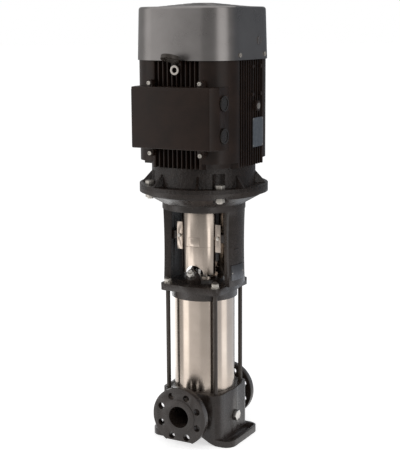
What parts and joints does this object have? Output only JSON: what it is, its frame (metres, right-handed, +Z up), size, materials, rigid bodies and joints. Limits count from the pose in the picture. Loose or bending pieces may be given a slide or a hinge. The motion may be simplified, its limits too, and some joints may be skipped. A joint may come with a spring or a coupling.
{
  "type": "vertical multistage pump",
  "caption": "Vertical multistage in-line pump: impellers stacked in a steel sleeve between a flanged base and a motor stool, turned by a finned flange motor through a split coupling",
  "frame": {"origin": "on the floor under the shaft, at the centre of the four foot holes", "axes": "+Z up along the shaft, -Y out of the inlet flange and the terminal box, +Y out of the outlet flange, +X to the side with the drain plug"},
  "size_m": [0.35, 0.3984, 1.196],
  "materials": {
    "cast_coating": "satin black coating",
    "motor_paint": "semi-gloss near-black paint",
    "cover_paint": "satin dark grey metallic paint",
    "stainless": "brushed stainless steel",
    "zinc": "zinc plated",
    "bright_steel": "ground steel",
    "coupling_iron": "machined grey iron",
    "black_oxide": "black",
    "core_steel": "stacked sheet steel",
    "copper": "enamelled copper wire",
    "fan_plastic": "matt",
    "board_plastic": "matt",
    "plug_plastic": "semi-gloss"
  },
  "bodies": {
    "pump_and_motor": {"pump_base": "cast_coating", "pump_head": "cast_coating", "motor_flange": "motor_paint", "stator_frame": "motor_paint", "fan_end_shield": "motor_paint", "terminal_box": "motor_paint", "terminal_box_cover": "motor_paint", "fan_cover": "cover_paint", "outer_sleeve": "stainless", "guard_front": "stainless", "guard_rear": "stainless", "seal_housing": "stainless", "inlet_guide": "stainless", "outlet_chamber": "stainless", "stage_chamber_1": "stainless", "stage_chamber_2": "stainless", "stage_chamber_3": "stainless", "stage_chamber_4": "stainless", "stay_rod_washers": "zinc", "stay_rod_nuts": "zinc", "flange_bolts": "zinc", "flange_nuts": "zinc", "guard_screws": "zinc", "fan_cover_screws": "zinc", "terminal_box_screws": "zinc", "vent_plug": "zinc", "drain_plug": "zinc", "drive_bearing_outer_ring": "bright_steel", "fan_bearing_outer_ring": "bright_steel", "lifting_eyes": "black_oxide", "stay_rods": "black_oxide", "stator_core": "core_steel", "stator_windings": "copper", "terminal_board": "board_plastic", "cable_entry_plugs": "plug_plastic"},
    "rotor": {"motor_shaft": "bright_steel", "pump_shaft": "bright_steel", "coupling_half_front": "coupling_iron", "coupling_half_rear": "coupling_iron", "coupling_screws": "black_oxide", "coupling_pin": "bright_steel", "seal_collar": "bright_steel", "rotor_core": "core_steel", "cooling_fan": "fan_plastic", "drive_bearing_inner_ring": "bright_steel", "fan_bearing_inner_ring": "bright_steel", "impeller_1": "stainless", "impeller_2": "stainless", "impeller_3": "stainless", "impeller_4": "stainless"},
    "vent_screw": {"vent_screw": "bright_steel"}
  },
  "joints": [
    {"name": "shaft_spin", "type": "hinge", "parent": "pump_and_motor", "child": "rotor", "pos_m": [0, 0, 0.6], "axis": [0, 0, 1], "continuous": true},
    {"name": "vent_screw_turn", "type": "hinge", "parent": "pump_and_motor", "child": "vent_screw", "pos_m": [0, -0.068, 0.47], "axis": [0, -0.7071, 0.7071], "range_deg": [0, 360]}
  ]
}
